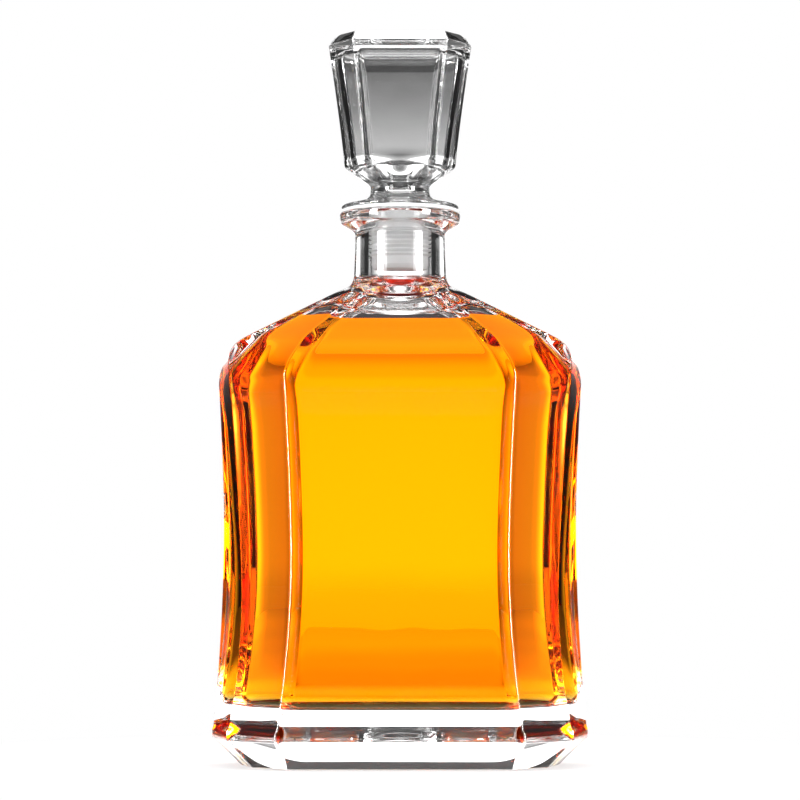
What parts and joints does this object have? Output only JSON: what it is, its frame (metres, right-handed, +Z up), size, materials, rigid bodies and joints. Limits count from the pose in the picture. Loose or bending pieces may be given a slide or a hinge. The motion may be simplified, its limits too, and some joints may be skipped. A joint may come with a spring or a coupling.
{
  "type": "glass decanter with stopper",
  "caption": "Faceted square-shouldered glass decanter on a thick undercut base, holding amber spirit, with a hollow glass stopper on a finned plastic seal.",
  "frame": {"origin": "centre of the foot, on the surface that the decanter stands on", "axes": "+Z up through the stopper, +X across the width, the broad front panel faces -Y"},
  "size_m": [0.123, 0.0734, 0.24],
  "materials": {
    "bottle_glass": "fire-polished clear soda glass",
    "spirit": "clear amber liquid",
    "seal_plastic": "frosted natural polyethylene",
    "stopper_glass": "fire-polished clear soda glass"
  },
  "bodies": {
    "decanter": {"bottle": "bottle_glass", "spirit": "spirit"},
    "seal": {"stopper_seal": "seal_plastic"},
    "stopper": {"stopper": "stopper_glass"}
  },
  "joints": [
    {"name": "stopper_lift", "type": "slide", "parent": "decanter", "child": "seal", "axis": [0, 0, 1], "range_m": [0, 0.045]},
    {"name": "stopper_turn", "type": "hinge", "parent": "seal", "child": "stopper", "pos_m": [0, 0, 0.172], "axis": [0, 0, 1], "continuous": true}
  ]
}
